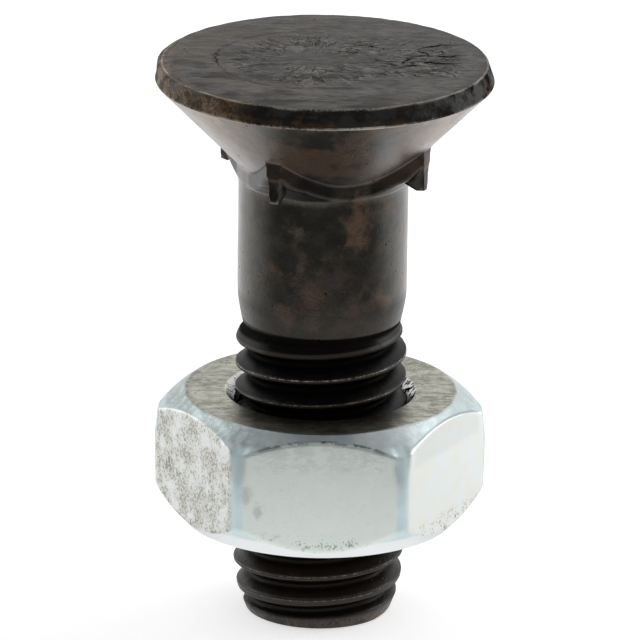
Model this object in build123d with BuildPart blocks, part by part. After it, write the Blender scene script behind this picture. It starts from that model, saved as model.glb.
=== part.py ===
from build123d import *
import os
from math import atan, degrees, floor, radians, tan

# A plow bolt and its nut, in millimetres, standing on the flat end of the thread.
# The origin is the centre of that end, and +Z runs up the shank to the countersunk head.

# ---- Bolt: thread, ISO metric M10 x 1.5, right-hand, rolled ----
bolt_length = 33.1          # flat end to the top of the head
thread_diameter = 9.88      # over the crests
thread_pitch = 1.5
thread_length = 16.45       # flat end to where full-depth threads stop
thread_lead = 1.45          # height of the first whole groove on the +X side
end_diameter = 8.4          # flat end, at the foot of the rolled point
point_length = 2.4          # flat end to where the crests are full
flank_angle = 30            # each flank to the plane across the axis
crest_share = 1 / 8         # of the pitch, left flat on a crest
depth_share = 0.6134        # of the pitch, crest to root

# ---- Bolt: shank, between the thread and the neck ----
shank_diameter = 9.76
blank_diameter = 9.1        # what the thread was rolled on, bare above the last crest
crest_fade_length = 0.9     # crests fall to the blank over this length
shank_taper_length = 1.8    # blank widens to the full shank

# ---- Bolt: head, countersunk, round and flat-topped ----
head_diameter = 19.45       # widest, at the lower edge of the rim
head_face_diameter = 18.6   # flat top, inside the bevel of its edge
head_rim_height = 1.1
head_angle = 89             # included angle of the countersunk cone
face_bevel_width = 0.1
face_bevel_height = 0.12
head_fillet_radius = 0.3    # cone into the shank

# ---- Bolt: forged square neck with a fin on each corner ----
neck_stand = 0.02           # flats stand this far outside the shank
neck_turn = 19              # flats are turned this far about the axis
neck_depth = 6.95           # top of the head to the foot of the ledge under the flats
neck_sunk = 0.4             # how far the neck and fins run into the cone above them
fin_reach = 1.62            # fins stand this far outside the shank
fin_top_width = 1.1
fin_tip_width = 0.4
fin_foot_rise = 0.45        # inner end of a fin's foot, above the foot of the ledge
burr_rise = 0.1             # tip of the burr that hangs from a fin, above the same
burr_width = 0.7            # burr, inward from the fin's edge

# ---- Nut: hexagonal, M10, chamfered on both faces ----
nut_across_flats = 16.85
nut_height = 7.5
nut_place = 5.72            # flat end of the bolt to the nut's lower face
nut_turn = 0.3              # flats are turned this far about the axis
nut_corner_radius = 1.0
nut_face_inset = 0.5        # round machined face inside the flats, at each end
nut_top_chamfer = 36.5      # slope from the face down to the corners
nut_bottom_chamfer = 47
nut_mouth_width = 0.5       # countersink round the bore at each end
thread_clearance = 0.06     # bore outside the bolt's crests, on the radius

# ---- Sizes that follow from these ----
crest_radius = thread_diameter / 2
root_radius = crest_radius - depth_share * thread_pitch
shank_radius = shank_diameter / 2
head_radius = head_diameter / 2
rim_foot = bolt_length - head_rim_height
fade_top = thread_length + crest_fade_length
taper_top = fade_top + shank_taper_length
ledge_foot = bolt_length - neck_depth
fin_radius = shank_radius + fin_reach


def cone_height(radius):
    """Height at which the countersunk cone has this radius."""
    return rim_foot - (head_radius - radius) / tan(radians(head_angle / 2))


def bolt_section():
    """Half section of the bolt before its thread is cut: radius, height, rounding."""
    corners = [
        (end_diameter / 2, 0, 0),
        (crest_radius, point_length, 0),
        (crest_radius, thread_length, 0),
        (blank_diameter / 2, fade_top, 0),
        (shank_radius, taper_top, 0),
        (shank_radius, cone_height(shank_radius), head_fillet_radius),
        (head_radius, rim_foot, 0),
        (head_face_diameter / 2 + face_bevel_width, bolt_length - face_bevel_height, 0),
        (head_face_diameter / 2, bolt_length, 0),
    ]
    points = [(0, 0)] + [(radius, height) for radius, height, _ in corners] + [(0, bolt_length)]
    with BuildSketch(Plane.XZ) as section:
        with BuildLine():
            FilletPolyline(*points, radius=[rounding for _, _, rounding in corners])
            Line(points[-1], points[0])
        make_face()
    return section.sketch


def groove(height, turns, rise=0):
    """Cutter for turns of the thread groove from this height, its root moving out by rise."""
    depth = crest_radius - root_radius
    past = 0.06 * thread_pitch
    slope = tan(radians(flank_angle))
    root_half = (1 - crest_share) * thread_pitch / 2 - depth * slope
    mouth_half = root_half + (depth + past) * slope
    length = turns * thread_pitch
    with BuildPart() as cutter:
        with BuildLine() as path:
            Helix(thread_pitch, length, root_radius, (0, 0, height), cone_angle=degrees(atan(rise / length)))
        with BuildSketch(Plane(origin=path.line @ 0, x_dir=(1, 0, 0), z_dir=path.line % 0)):
            with BuildLine():
                Polyline(
                    (0, -root_half),
                    (depth + past, -mouth_half),
                    (depth + past, mouth_half),
                    (0, root_half),
                    close=True,
                )
            make_face()
        sweep(is_frenet=True)
    return cutter.part


# The neck's core: a square between the ledge under its flats and the cone above them.
neck_top = cone_height(fin_radius) + neck_sunk
with BuildPart() as neck:
    with BuildSketch(Plane.XY.offset(ledge_foot)):
        Rectangle(shank_diameter + 2 * neck_stand, shank_diameter + 2 * neck_stand)
    extrude(amount=neck_top - ledge_foot)
    with BuildSketch(Plane.XZ):
        with BuildLine():
            Polyline(
                (0, ledge_foot),
                (shank_radius, ledge_foot),
                (fin_radius, ledge_foot + fin_reach),
                (fin_radius, neck_top),
                (0, neck_top),
                close=True,
            )
        make_face()
    revolve(mode=Mode.INTERSECT)

# One fin: a plate that narrows towards its foot, with a burr hanging from the outer end.
with BuildPart() as fin:
    with BuildSketch(Plane.XZ):
        with BuildLine():
            Polyline(
                (shank_radius - fin_top_width, ledge_foot + fin_foot_rise),
                (fin_radius - burr_width, ledge_foot + fin_foot_rise),
                (fin_radius - burr_width / 3, ledge_foot + burr_rise),
                (fin_radius, ledge_foot + 2 * burr_rise),
                (fin_radius, neck_top),
                (shank_radius - fin_top_width, neck_top),
                close=True,
            )
        make_face()
    extrude(amount=fin_top_width, both=True)
    with BuildSketch(Plane.YZ):
        with BuildLine():
            Polyline(
                (-fin_tip_width / 2, ledge_foot),
                (fin_tip_width / 2, ledge_foot),
                (fin_top_width / 2, neck_top),
                (-fin_top_width / 2, neck_top),
                close=True,
            )
        make_face()
    extrude(amount=fin_radius, mode=Mode.INTERSECT)

# The bolt: turned blank, neck and fins, then the thread, groove by groove to its run-out.
with BuildPart() as bolt:
    add(bolt_section())
    revolve()
    add(neck.part, rotation=(0, 0, neck_turn))
    with PolarLocations(0, 4, start_angle=neck_turn + 45):
        add(fin.part)
    whole_turns = floor((thread_length - thread_lead) / thread_pitch)
    one_turn = groove(thread_lead - 2 * thread_pitch, 1)
    with Locations([(0, 0, turn * thread_pitch) for turn in range(whole_turns + 2)]):
        add(one_turn, mode=Mode.SUBTRACT)
    run_out = groove(thread_lead + whole_turns * thread_pitch, 1, crest_radius - root_radius)
    add(run_out, mode=Mode.SUBTRACT)
bolt.part.label = "bolt"

# The nut: a hexagon with rounded corners, cut to a ring with chamfered faces and mouths.
bore_radius = crest_radius + thread_clearance
mouth_radius = bore_radius + nut_mouth_width
nut_face_radius = nut_across_flats / 2 - nut_face_inset
nut_top = nut_place + nut_height
nut_reach = nut_across_flats * 0.6 - nut_face_radius   # from the face to past the corners
with BuildPart() as nut:
    with BuildSketch(Plane.XY.offset(nut_place)) as hexagon:
        RegularPolygon(nut_across_flats / 2, 6, major_radius=False, rotation=nut_turn)
        fillet(hexagon.vertices(), nut_corner_radius)
    extrude(amount=nut_height)
    with BuildSketch(Plane.XZ):
        with BuildLine():
            Polyline(
                (mouth_radius, nut_place),
                (nut_face_radius, nut_place),
                (nut_face_radius + nut_reach, nut_place + nut_reach * tan(radians(nut_bottom_chamfer))),
                (nut_face_radius + nut_reach, nut_top - nut_reach * tan(radians(nut_top_chamfer))),
                (nut_face_radius, nut_top),
                (mouth_radius, nut_top),
                (bore_radius, nut_top - nut_mouth_width),
                (bore_radius, nut_place + nut_mouth_width),
                close=True,
            )
        make_face()
    revolve(mode=Mode.INTERSECT)
nut.part.label = "nut"

os.makedirs("parts", exist_ok=True)
export_step(bolt.part, "parts/bolt.step")
export_step(nut.part, "parts/nut.step")
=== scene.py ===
"""A countersunk plow bolt and its hex nut, standing on the threaded end.

Each piece starts as a plain turned blank. A Geometry Nodes tree then shapes it by rule: the
bolt's gets its right-hand thread, square neck and fins, and the nut's its hexagon. Lengths are
in millimetres until the end of each tree, where the piece is brought to metres.
"""

import logging
import math
from dataclasses import dataclass
from enum import Enum
from typing import Any, Optional, Sequence, Union

import bpy
from mathutils import Matrix, Vector

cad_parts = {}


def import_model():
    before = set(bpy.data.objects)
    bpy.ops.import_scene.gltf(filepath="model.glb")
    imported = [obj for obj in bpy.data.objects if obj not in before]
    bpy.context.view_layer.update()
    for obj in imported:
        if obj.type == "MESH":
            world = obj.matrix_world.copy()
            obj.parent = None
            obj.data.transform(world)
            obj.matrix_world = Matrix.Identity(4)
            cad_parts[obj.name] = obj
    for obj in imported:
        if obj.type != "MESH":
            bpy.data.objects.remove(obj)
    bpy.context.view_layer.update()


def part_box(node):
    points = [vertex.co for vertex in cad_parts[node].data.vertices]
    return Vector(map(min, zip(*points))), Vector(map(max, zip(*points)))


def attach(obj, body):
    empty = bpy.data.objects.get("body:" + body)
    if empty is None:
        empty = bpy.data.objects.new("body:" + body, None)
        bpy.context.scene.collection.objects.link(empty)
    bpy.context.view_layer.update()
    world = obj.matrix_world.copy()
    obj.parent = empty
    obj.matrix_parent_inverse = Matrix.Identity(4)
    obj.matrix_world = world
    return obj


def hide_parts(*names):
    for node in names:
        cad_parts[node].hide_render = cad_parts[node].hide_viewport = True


log = logging.getLogger("plow_bolt")

MM = 0.001
NOISE_STEP = (7.3, 3.1, 5.7)    # how far each seed moves a noise
CELL_STEP = (3.9, 6.1, 2.3)     # how far each seed moves scattered cells
ROUNDING_STEP = math.radians(15)    # the turn of each step round a corner

Number = Union[int, float]
Operand = Union["Field", Number]
Colour = tuple[float, float, float, float]
Shade = Union["Field", Colour]
Span = tuple[float, float]


def paint(red: int, green: int, blue: int) -> Colour:
    """Turns display values into a shader colour.

    Args:
        red: The red value, from 0 to 255.
        green: The green value.
        blue: The blue value.

    Returns:
        The colour, fully opaque.
    """
    shares = (red / 255, green / 255, blue / 255)
    linear = [c / 12.92 if c <= 0.04045 else ((c + 0.055) / 1.055) ** 2.4 for c in shares]
    return (linear[0], linear[1], linear[2], 1.0)


# ---------------------------------------------------------------- node trees


class Field:
    """A value that varies over a piece: one output socket, used in plain arithmetic."""

    def __init__(self, graph: "Graph", socket: bpy.types.NodeSocket) -> None:
        """Wraps a socket of a graph."""
        self.graph = graph
        self.socket = socket

    def _math(self, operation: str, *values: Operand) -> "Field":
        """Adds a Math node for one operation on the given values."""
        return self.graph.node("ShaderNodeMath", {"operation": operation}, dict(enumerate(values)))

    def __add__(self, other: Operand) -> "Field":
        """self + other."""
        return self._math("ADD", self, other)

    def __radd__(self, other: Number) -> "Field":
        """other + self."""
        return self._math("ADD", other, self)

    def __sub__(self, other: Operand) -> "Field":
        """self - other."""
        return self._math("SUBTRACT", self, other)

    def __rsub__(self, other: Number) -> "Field":
        """other - self."""
        return self._math("SUBTRACT", other, self)

    def __mul__(self, other: Operand) -> "Field":
        """self * other."""
        return self._math("MULTIPLY", self, other)

    def __rmul__(self, other: Number) -> "Field":
        """other * self."""
        return self._math("MULTIPLY", other, self)

    def __truediv__(self, other: Operand) -> "Field":
        """self / other."""
        return self._math("DIVIDE", self, other)

    def __rtruediv__(self, other: Number) -> "Field":
        """other / self."""
        return self._math("DIVIDE", other, self)

    def abs(self) -> "Field":
        """The value without its sign."""
        return self._math("ABSOLUTE", self)

    def sin(self) -> "Field":
        """Sine of an angle in radians."""
        return self._math("SINE", self)

    def cos(self) -> "Field":
        """Cosine of an angle in radians."""
        return self._math("COSINE", self)

    def root(self) -> "Field":
        """Square root."""
        return self._math("SQRT", self)

    def nearest(self) -> "Field":
        """The nearest whole number."""
        return self._math("ROUND", self)

    def angle_from(self, other: "Field") -> "Field":
        """The angle whose opposite side is self and adjacent side is other."""
        return self._math("ARCTAN2", self, other)

    def below(self, limit: Operand, blend: float = 0.0) -> "Field":
        """The smaller of two values, run together over a distance."""
        return self._math("SMOOTH_MIN", self, limit, blend) if blend else self._math("MINIMUM", self, limit)

    def above(self, limit: Operand, blend: float = 0.0) -> "Field":
        """The larger of two values, run together over a distance."""
        return self._math("SMOOTH_MAX", self, limit, blend) if blend else self._math("MAXIMUM", self, limit)

    def rise(self, start: Operand, end: Operand) -> "Field":
        """A smooth step.

        Args:
            start: Where the step leaves 0.
            end: Where it reaches 1; start may be the larger of the two.

        Returns:
            The step, from 0 to 1.
        """
        sockets = {"Value": self, "From Min": start, "From Max": end, "To Min": 0.0, "To Max": 1.0}
        return self.graph.node("ShaderNodeMapRange", {"interpolation_type": "SMOOTHSTEP"}, sockets)

    def between(self, low: Number, high: Number, soft: Number) -> "Field":
        """1 from low to high, falling smoothly to 0 over a distance outside them."""
        return self.rise(low - soft, low) * self.rise(high + soft, high)


class Graph:
    """A node tree that is being built."""

    def __init__(self, tree: bpy.types.NodeTree) -> None:
        """Starts from an empty tree."""
        self.tree = tree

    def node(
        self,
        kind: str,
        settings: Optional[dict[str, Any]] = None,
        sockets: Optional[dict[Union[str, int], Any]] = None,
        output: Union[str, int] = 0,
    ) -> Field:
        """Makes one node.

        Args:
            kind: The node's type.
            settings: Its properties, set before its sockets.
            sockets: A value, or a Field to link, for each input by name or number.
            output: The output to return, by name or number.

        Returns:
            The chosen output.
        """
        made = self.tree.nodes.new(kind)
        for name, value in (settings or {}).items():
            setattr(made, name, value)
        for key, value in (sockets or {}).items():
            self.feed(made.inputs[key], value)
        return Field(self, made.outputs[output])

    def feed(self, socket: bpy.types.NodeSocket, value: Any) -> None:
        """Feeds an input.

        Args:
            socket: The input.
            value: A Field to link, or a plain value.
        """
        if isinstance(value, Field):
            self.tree.links.new(value.socket, socket)
        else:
            socket.default_value = value

    def vector(self, x: Operand, y: Operand, z: Operand) -> Field:
        """A vector from its three parts."""
        return self.node("ShaderNodeCombineXYZ", None, {0: x, 1: y, 2: z})

    def _shifted(self, where: Field, scale: Sequence[float], shift: Sequence[float]) -> Field:
        """A point, scaled and then shifted."""
        sockets = {0: where, 1: scale, 2: shift}
        return self.node("ShaderNodeVectorMath", {"operation": "MULTIPLY_ADD"}, sockets)

    def noise(
        self,
        where: Field,
        size: float,
        seed: int,
        detail: float = 3.0,
        roughness: float = 0.5,
        stretch: tuple[float, float, float] = (1.0, 1.0, 1.0),
    ) -> Field:
        """Cloudy noise from about 0.2 to 0.8.

        Args:
            where: The point, in millimetres.
            size: Rough size of a cloud, in millimetres.
            seed: Moves the pattern, so that two of one size differ.
            detail: Number of finer layers.
            roughness: Strength of each finer layer.
            stretch: How many times longer the clouds are along each axis.

        Returns:
            The noise.
        """
        scale = [1.0 / (size * s) for s in stretch]
        moved = self._shifted(where, scale, [step * seed for step in NOISE_STEP])
        layers = {"Vector": moved, "Scale": 1.0, "Detail": detail, "Roughness": roughness}
        return self.node("ShaderNodeTexNoise", None, layers)

    def cells(self, where: Field, size: float, seed: int) -> Field:
        """Distance to the nearest of many scattered points.

        Args:
            where: The point, in millimetres.
            size: Rough size of a cell, in millimetres.
            seed: Moves the pattern.

        Returns:
            The distance, from 0 to about 1 cell.
        """
        moved = self._shifted(where, [1 / size] * 3, [step * seed for step in CELL_STEP])
        return self.node("ShaderNodeTexVoronoi", None, {"Vector": moved, "Scale": 1.0})


@dataclass(frozen=True)
class Place:
    """Where a point of a piece is, as fields in millimetres and radians."""

    vector: Field
    x: Field
    y: Field
    z: Field
    radius: Field
    angle: Field

    @classmethod
    def of(cls, graph: Graph, vector: Field) -> "Place":
        """Splits a vector field into its parts about the upright axis."""
        x, y, z = (graph.node("ShaderNodeSeparateXYZ", None, {0: vector}, part) for part in range(3))
        return cls(vector, x, y, z, (x * x + y * y).root(), y.angle_from(x))


def turn_height(place: Place, pitch: Operand, lead: Operand) -> tuple[Field, Field]:
    """Follows a right-hand thread's groove round a piece.

    Args:
        place: The point.
        pitch: Rise of the groove in one turn.
        lead: Height of the groove's middle on the +X side, on some turn.

    Returns:
        The height of the nearest groove's middle, and the point's height above it.
    """
    climb = place.angle * (1 / math.tau) * pitch + lead
    middle = ((place.z - climb) / pitch).nearest() * pitch + climb
    return middle, place.z - middle


class Form(Graph):
    """A Geometry Nodes tree that shapes a blank, with named inputs for its sizes."""

    def __init__(self, name: str, sizes: dict[str, float]) -> None:
        """Args:
            name: The tree's name.
            sizes: Each named input and its value, in millimetres or radians.
        """
        super().__init__(bpy.data.node_groups.new(name, "GeometryNodeTree"))
        self.sizes = sizes
        interface = self.tree.interface
        interface.new_socket("Blank", in_out="INPUT", socket_type="NodeSocketGeometry")
        interface.new_socket("Finish", in_out="INPUT", socket_type="NodeSocketMaterial")
        for size in sizes:
            interface.new_socket(size, in_out="INPUT", socket_type="NodeSocketFloat")
        interface.new_socket("Piece", in_out="OUTPUT", socket_type="NodeSocketGeometry")
        self.source = self.tree.nodes.new("NodeGroupInput")
        self.mesh = self.size("Blank")

    def size(self, name: str) -> Field:
        """One of the tree's named inputs."""
        return Field(self, self.source.outputs[name])

    def place(self) -> Place:
        """The place of each point of the blank."""
        return Place.of(self, self.node("GeometryNodeInputPosition"))

    def move(self, x: Operand, y: Operand, z: Operand) -> None:
        """Puts every point at a new place."""
        moved = {"Geometry": self.mesh, "Position": self.vector(x, y, z)}
        self.mesh = self.node("GeometryNodeSetPosition", None, moved)

    def move_to_radius(self, place: Place, radius: Field, height: Operand) -> None:
        """Moves every point in or out to a radius, and to a height."""
        share = radius / place.radius.above(0.0001)
        self.move(place.x * share, place.y * share, height)

    def shape(self, blank: bpy.types.Object, finish: bpy.types.Material) -> bpy.types.Object:
        """Ends the tree and applies it.

        Args:
            blank: The turned blank, in millimetres.
            finish: The material of the piece.

        Returns:
            The blank's object, with the finished piece as a plain mesh in metres.
        """
        scaled = self.node("GeometryNodeTransform", None, {"Geometry": self.mesh, "Scale": (MM, MM, MM)})
        smooth = self.node("GeometryNodeSetShadeSmooth", None, {"Geometry": scaled})
        real = self.node("GeometryNodeRealizeInstances", None, {"Geometry": smooth})
        finished = {"Geometry": real, "Material": self.size("Finish")}
        dressed = self.node("GeometryNodeSetMaterial", None, finished)
        end = self.tree.nodes.new("NodeGroupOutput")
        self.feed(end.inputs[0], dressed)
        modifier = blank.modifiers.new(self.tree.name, "NODES")
        modifier.node_group = self.tree
        values = {**self.sizes, "Finish": finish}
        for item in self.tree.interface.items_tree:
            if item.in_out == "INPUT" and item.name in values:
                modifier[item.identifier] = values[item.name]
        bpy.context.view_layer.update()
        made = bpy.data.meshes.new_from_object(blank.evaluated_get(bpy.context.evaluated_depsgraph_get()))
        blank.modifiers.clear()
        blank.data = made
        made.name = blank.name
        return blank


class Coating(Graph):
    """A material's node tree around one Principled shader."""

    def __init__(self, name: str) -> None:
        """Makes a material with that shader only.

        Args:
            name: The material's name.
        """
        self.material = bpy.data.materials.new(name)
        self.material.use_nodes = True
        super().__init__(self.material.node_tree)
        self.shader = self.tree.nodes["Principled BSDF"]
        where = self.node("ShaderNodeTexCoord", None, None, "Object")
        scaled = self.node("ShaderNodeVectorMath", {"operation": "SCALE"}, {0: where, "Scale": 1 / MM})
        self.place = Place.of(self, scaled)

    def mix(self, share: Operand, first: Shade, second: Shade) -> Field:
        """A colour between two: the first at share 0, the second at 1."""
        return self.node("ShaderNodeMix", {"data_type": "RGBA"}, {0: share, 6: first, 7: second}, 2)

    def layered(self, base: Field, *layers: tuple[Operand, Shade]) -> Field:
        """Lays colours over a base, one after another.

        Args:
            base: The colour underneath.
            layers: How much of each layer shows, from 0 to 1, and its colour.

        Returns:
            The colour that shows.
        """
        for share, colour in layers:
            base = self.mix(share, base, colour)
        return base

    def set(self, **values: Any) -> None:
        """Sets or links the shader's sockets, named in lower case with underscores."""
        for name, value in values.items():
            self.feed(self.shader.inputs[name.replace("_", " ").title().replace("Ior", "IOR")], value)

    def cover(self, share: Field, colour: Colour) -> None:
        """Hides the gloss behind dull matter: soot in a crack, and also painted shade.

        Args:
            share: How much of the surface it covers, from 0 to 1.
            colour: Its colour.
        """
        matter = {"Base Color": colour, "Roughness": 1.0, "Specular IOR Level": 0.0}
        dull = self.node("ShaderNodeBsdfPrincipled", None, matter)
        gloss = Field(self, self.shader.outputs[0])
        mixed = self.node("ShaderNodeMixShader", None, {0: share, 1: gloss, 2: dull})
        self.feed(self.tree.nodes["Material Output"].inputs["Surface"], mixed)

    def bump(self, height: Field, depth: float) -> None:
        """Presses a height field into the surface, to a depth in millimetres."""
        pressed = {"Strength": 1.0, "Distance": depth * MM, "Height": height}
        self.set(normal=self.node("ShaderNodeBump", None, pressed))


# ---------------------------------------------------------------- turned blanks


@dataclass(frozen=True)
class Corner:
    """A corner of a turned profile, with its rounding and the row spacing that leads to it."""

    radius: float
    height: float
    rounding: float = 0.0
    spacing: float = 0.5


def spaced(start: Vector, end: Vector, spacing: float) -> list[Vector]:
    """Points after start, up to and with end, no further apart than the spacing."""
    count = max(1, math.ceil((end - start).length / spacing - 1e-6))
    return [start.lerp(end, i / count) for i in range(1, count + 1)]


def profile_rows(corners: Sequence[Corner]) -> list[Vector]:
    """Follows a profile with its corners rounded.

    Args:
        corners: The profile's corners, in order.

    Returns:
        Points of radius and height, one for each row of the blank.
    """
    rows = [Vector((corners[0].radius, corners[0].height))]
    for before, corner, after in zip(corners, corners[1:], corners[2:]):
        here = Vector((corner.radius, corner.height))
        arrive = (here - Vector((before.radius, before.height))).normalized()
        leave = (Vector((after.radius, after.height)) - here).normalized()
        turn = math.atan2(arrive.cross(leave), arrive.dot(leave))
        reach = corner.rounding * math.tan(abs(turn) / 2)
        rows += spaced(rows[-1], here - arrive * reach, corner.spacing)
        if reach:
            steps = max(2, round(abs(turn) / ROUNDING_STEP))
            side = Vector((-arrive.y, arrive.x)) * math.copysign(1, turn)
            centre = here - arrive * reach + side * corner.rounding
            spoke = rows[-1] - centre
            rows += [centre + Matrix.Rotation(turn * i / steps, 2) @ spoke for i in range(1, steps + 1)]
    last = corners[-1]
    return rows + spaced(rows[-1], Vector((last.radius, last.height)), last.spacing)


def turned_blank(name: str, rows: Sequence[Vector], angles: Sequence[float]) -> bpy.types.Object:
    """Turns a profile about the upright axis into a closed mesh.

    Args:
        name: The object's name.
        rows: Radius and height of each row. Where the first radius is 0 both ends are poles,
            and otherwise the profile is a loop.
        angles: Angle of each column, rising.

    Returns:
        The object, linked to the scene.
    """
    poles = rows[0].x < 1e-6
    rings = list(rows[1:-1]) if poles else list(rows)
    count = len(angles)
    points = [(r.x * math.cos(a), r.x * math.sin(a), r.y) for r in rings for a in angles]
    loops = range(len(rings) - 1) if poles else range(len(rings))
    faces: list[tuple[int, ...]] = []
    for i in loops:
        low, high = i * count, (i + 1) % len(rings) * count
        faces += [(low + j, low + (j + 1) % count, high + (j + 1) % count, high + j) for j in range(count)]
    if poles:
        first, last, top = len(points), len(points) + 1, (len(rings) - 1) * count
        points += [(0.0, 0.0, rows[0].y), (0.0, 0.0, rows[-1].y)]
        faces += [(first, (j + 1) % count, j) for j in range(count)]
        faces += [(last, top + j, top + (j + 1) % count) for j in range(count)]
    mesh = bpy.data.meshes.new(name)
    mesh.from_pydata(points, [], faces)
    made = bpy.data.objects.new(name, mesh)
    bpy.context.scene.collection.objects.link(made)
    return made


# ---------------------------------------------------------------- finishes


@dataclass(frozen=True)
class Crack:
    """A thin wandering crack in a flat top, from one point to another, in millimetres.

    The bend bows it to its left, and the width is that of its dark line.
    """

    x0: float
    y0: float
    x1: float
    y1: float
    bend: float
    width: float

    def drawn(self, coat: Coating) -> Field:
        """Draws the crack.

        Args:
            coat: The coating that it runs through.

        Returns:
            1 in the crack and 0 off it.
        """
        long = math.hypot(self.x1 - self.x0, self.y1 - self.y0)
        ux, uy = (self.x1 - self.x0) / long, (self.y1 - self.y0) / long
        dx, dy = coat.place.x - self.x0, coat.place.y - self.y0
        along = dx * ux + dy * uy
        wander = (coat.noise(coat.place.vector, 0.5, 7, 4.0, 0.6) - 0.5) * 0.8
        across = (dy * ux - dx * uy - along * (long - along) * self.bend + wander).abs()
        half = self.width * 0.5 * along.rise(-0.1, 0.8) * along.rise(long + 0.1, long - 0.9)
        return across.rise(half + 0.03, half * 0.5) * along.between(0.0, long, 0.1)


@dataclass(frozen=True)
class Blotch:
    """A soft stain on a round or flat side.

    It has the angle it faces, its height, half its width, half its depth and its colour.
    """

    facing: float
    height: float
    across: float
    down: float
    colour: Colour

    def drawn(self, coat: Coating, cloud: Field) -> Field:
        """Draws the stain.

        Args:
            coat: The coating that it lies on.
            cloud: The noise that breaks up its edge.

        Returns:
            1 in the stain, fading to 0 outside it.
        """
        at = coat.place
        sin, cos = math.sin(self.facing), math.cos(self.facing)
        u = (at.y * cos - at.x * sin) / self.across
        v = (at.z - self.height) / self.down
        spread = (u * u + v * v).root() + (cloud - 0.5) * 3.2
        return spread.rise(1.5, 0.3) * (at.x * cos + at.y * sin).rise(0.0, 0.5)


@dataclass(frozen=True)
class DarkSteel:
    """Black heat-treated steel with oil and some rust: sooty threads, a coppery shank, a grey top.

    The sizes are in millimetres and say where on the bolt each look lies. A span is the pair of
    heights between which a look runs or comes in. Shade in hollows and edge highlights are painted.
    """

    name: str = "dark_steel"
    top: float = 33.0
    rim_foot: float = 31.95
    cone_foot: float = 27.07
    cone_slope: float = 0.983
    neck: Span = (26.3, 29.0)
    thread_top: float = 17.85
    thread_pitch: float = 1.5
    thread_lead: float = 1.45
    crest_edge: Span = (-0.69, -0.66)
    bright_crests: Span = (14.3, 15.0)
    brown_crests: Span = (6.5, 5.0)
    end_wear_and_highlight: Span = (0.75, 0.35)
    crest_radius: float = 4.94
    ring_radius: float = 5.6
    ring_shift: float = -0.7
    edge_radius: float = 9.33
    shank_radius: float = 4.88
    fin_radius: float = 6.5
    scale: Colour = paint(38, 34, 25)
    pale_scale: Colour = paint(64, 58, 47)
    stains: tuple[Blotch, ...] = (
        Blotch(math.radians(253), 24.3, 0.6, 0.4, paint(82, 74, 56)),
        Blotch(math.radians(294), 24.6, 0.8, 1.7, paint(104, 76, 54)),
        Blotch(math.radians(262), 20.4, 0.7, 1.1, paint(82, 56, 40)),
        Blotch(math.radians(279), 21.6, 0.9, 0.7, paint(58, 44, 34)),
        Blotch(math.radians(290), 19.3, 0.7, 0.7, paint(80, 56, 42)),
    )
    cracks: tuple[Crack, ...] = (
        Crack(4.4, -0.7, 5.1, 1.05, 0.16, 0.14),
        Crack(4.9, 0.95, 6.2, 1.0, 0.3, 0.34),
        Crack(6.0, 0.95, 8.1, 1.5, -0.1, 0.28),
        Crack(5.2, 2.1, 5.9, 2.9, 0.1, 0.2),
        Crack(5.6, 2.8, 7.3, 3.4, 0.1, 0.34),
        Crack(5.2, 2.3, 6.2, 1.0, 0.0, 0.22),
        Crack(6.4, 1.2, 6.9, 1.9, -0.1, 0.14),
        Crack(6.9, 1.8, 6.4, 2.6, -0.1, 0.14),
        Crack(5.3, 0.3, 7.8, -0.2, -0.2, 0.38),
        Crack(4.3, -1.1, 5.5, -1.0, 0.6, 0.28),
        Crack(4.5, -2.1, 6.3, -3.5, -0.1, 0.08),
        Crack(-6.1, -1.3, -6.1, 1.8, 0.04, 0.05),
        Crack(1.6, 3.0, 3.6, 2.2, 0.2, 0.12),
        Crack(0.6, 1.8, 2.4, 1.2, 0.15, 0.12),
        Crack(2.7, -0.2, 4.3, -0.9, 0.1, 0.12),
    )

    def material(self) -> bpy.types.Material:
        """Builds the finish.

        Returns:
            The material.
        """
        coat = Coating(self.name)
        at = coat.place
        fine = coat.noise(at.vector, 0.16, 1, 4.0, 0.6)
        cloud = coat.noise(at.vector, 1.1, 2, 4.0, 0.6)
        patch = coat.noise(at.vector, 2.4, 3, 3.0, 0.55)
        relief = coat.noise(at.vector, 0.9, 6, 5.0, 0.62, (1.8, 1.0, 1.0))
        pits = coat.cells(at.vector, 0.6, 4).rise(0.16, 0.06) * cloud.rise(0.48, 0.6)
        on_top = at.z.rise(self.top - 0.12, self.top - 0.02)
        on_rim = at.z.rise(self.rim_foot - 0.04, self.rim_foot + 0.02)
        on_thread = at.z.rise(self.thread_top + 0.08, self.thread_top - 0.08)

        thread_colour, soot_and_shade = self._thread(coat, cloud, fine)
        top_colour, marks = self._top(coat, cloud, patch)
        scale, rust = self._shank(coat, cloud, patch, fine)
        neck_shade_and_soot = self._neck_shade_and_soot(at)
        worn = self._edge_wear_and_glints(at, patch, fine)
        colour = coat.layered(
            scale,
            (on_thread, thread_colour),
            (on_rim, self._rim_colour(coat, cloud, patch, fine)),
            (on_top, top_colour),
            # painted shade and soot: the neck's flats and the crease under the cone turn near-black
            (neck_shade_and_soot * 0.7, paint(20, 17, 14)),
            # wear and painted highlights: pale, non-metal lines on the rim's edges and the fin tips
            (worn, paint(196, 188, 174)),
        )
        coat.bump(fine * 0.4 + cloud + (relief * 3.4 - marks * 2.5) * on_top - pits, 0.05)
        coat.set(
            base_color=colour,
            metallic=(1 - rust) * (1 - on_rim) * (1 - on_thread) * (1 - worn),
            roughness=0.26 + cloud * 0.12 + on_top * 0.2 + on_rim * 0.1 - worn * 0.1,
            specular_ior_level=0.5,
            coat_weight=(1 - on_rim) * (1 - on_thread) * (1 - rust * 0.6),
            coat_roughness=0.3,
        )
        # painted shade: the rim is dulled in cloudy patches, more towards the right
        rim_shade = (on_rim - on_top) * (0.15 + cloud.rise(0.4, 0.6) * 0.5 + at.x.rise(2.0, 8.0) * 0.3)
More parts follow.
